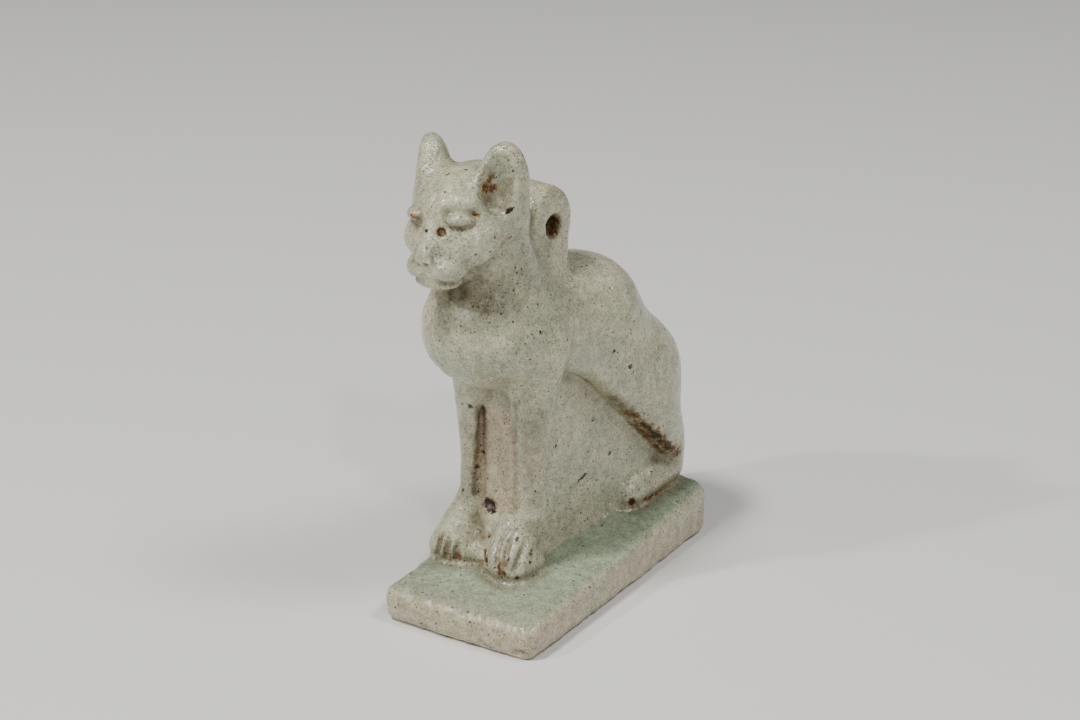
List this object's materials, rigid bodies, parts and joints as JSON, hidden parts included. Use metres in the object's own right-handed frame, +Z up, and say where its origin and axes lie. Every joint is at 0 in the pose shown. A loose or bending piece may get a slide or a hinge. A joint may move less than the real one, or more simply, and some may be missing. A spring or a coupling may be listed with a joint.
{
  "type": "cat amulet",
  "caption": "Seated cat amulet in pale glazed faience, moulded in one with its rectangular plinth, with a pierced hanging loop behind the neck.",
  "frame": {"origin": "middle of the plinth's flat underside", "axes": "+Z up, the cat looks along -Y, its left side is +X"},
  "size_m": [0.0128, 0.0265, 0.0344],
  "materials": {
    "faience": "pale grey-green glazed quartz faience, glossy over a grainy body"
  },
  "bodies": {
    "root": {"cat_amulet": "faience"}
  },
  "joints": []
}
